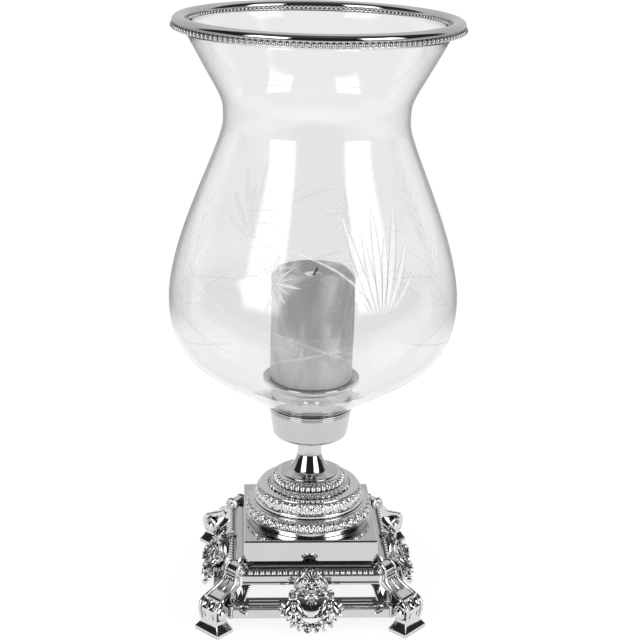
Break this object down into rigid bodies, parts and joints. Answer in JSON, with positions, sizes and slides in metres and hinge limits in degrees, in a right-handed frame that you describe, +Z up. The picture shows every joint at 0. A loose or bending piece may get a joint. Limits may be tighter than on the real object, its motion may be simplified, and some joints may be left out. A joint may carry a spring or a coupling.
{
  "type": "hurricane lantern",
  "caption": "Hurricane candle lantern: tulip-shaped glass shade with a beaded metal rim on a turned pedestal and a square scroll-footed base with masks and garlands.",
  "frame": {"origin": "on the floor under the axis, midway between the four feet", "axes": "+Z up along the axis of the stem and shade, -Y towards the front, the side that the picture shows"},
  "size_m": [0.2386, 0.2386, 0.4963],
  "materials": {
    "silver": "polished silver plate",
    "steel": "plain zinc-plated fasteners",
    "glass": "clear blown glass with wheel-cut sprays",
    "wax": "mottled wax",
    "wick": "burnt cotton",
    "gasket": "matt"
  },
  "bodies": {
    "stand": {"leg_front_right": "silver", "leg_back_right": "silver", "leg_back_left": "silver", "leg_front_left": "silver", "side_panel_front": "silver", "side_panel_right": "silver", "side_panel_back": "silver", "side_panel_left": "silver", "bead_strip_front": "silver", "bead_strip_right": "silver", "bead_strip_back": "silver", "bead_strip_left": "silver", "mask_front": "silver", "mask_right": "silver", "mask_back": "silver", "mask_left": "silver", "garland_front": "silver", "garland_right": "silver", "garland_back": "silver", "garland_left": "silver", "tray": "silver", "plinth_cover": "silver", "lower_tier": "silver", "upper_tier": "silver", "fluted_collar": "silver", "stem": "silver", "socket_cup": "silver", "leg_screw_front_right": "steel", "leg_screw_back_right": "steel", "leg_screw_back_left": "steel", "leg_screw_front_left": "steel", "mask_screw_front": "steel", "mask_screw_right": "steel", "mask_screw_back": "steel", "mask_screw_left": "steel", "tie_rod": "steel", "rod_washer": "steel", "rod_nut": "steel", "cup_nut": "steel", "seat_gasket": "gasket"},
    "shade": {"glass_shade": "glass", "rim_collar": "silver", "rim_outer_beading": "silver", "rim_inner_beading": "silver"},
    "pan": {"candle_pan": "silver"},
    "candle": {"candle": "wax", "wick": "wick"}
  },
  "joints": [
    {"name": "shade_lift", "type": "slide", "parent": "stand", "child": "shade", "axis": [0, 0, 1], "range_m": [0, 0.1]},
    {"name": "pan_lift", "type": "slide", "parent": "shade", "child": "pan", "axis": [0, 0, 1], "range_m": [0, 0.35]},
    {"name": "candle_lift", "type": "slide", "parent": "pan", "child": "candle", "axis": [0, 0, 1], "range_m": [0, 0.32]}
  ]
}
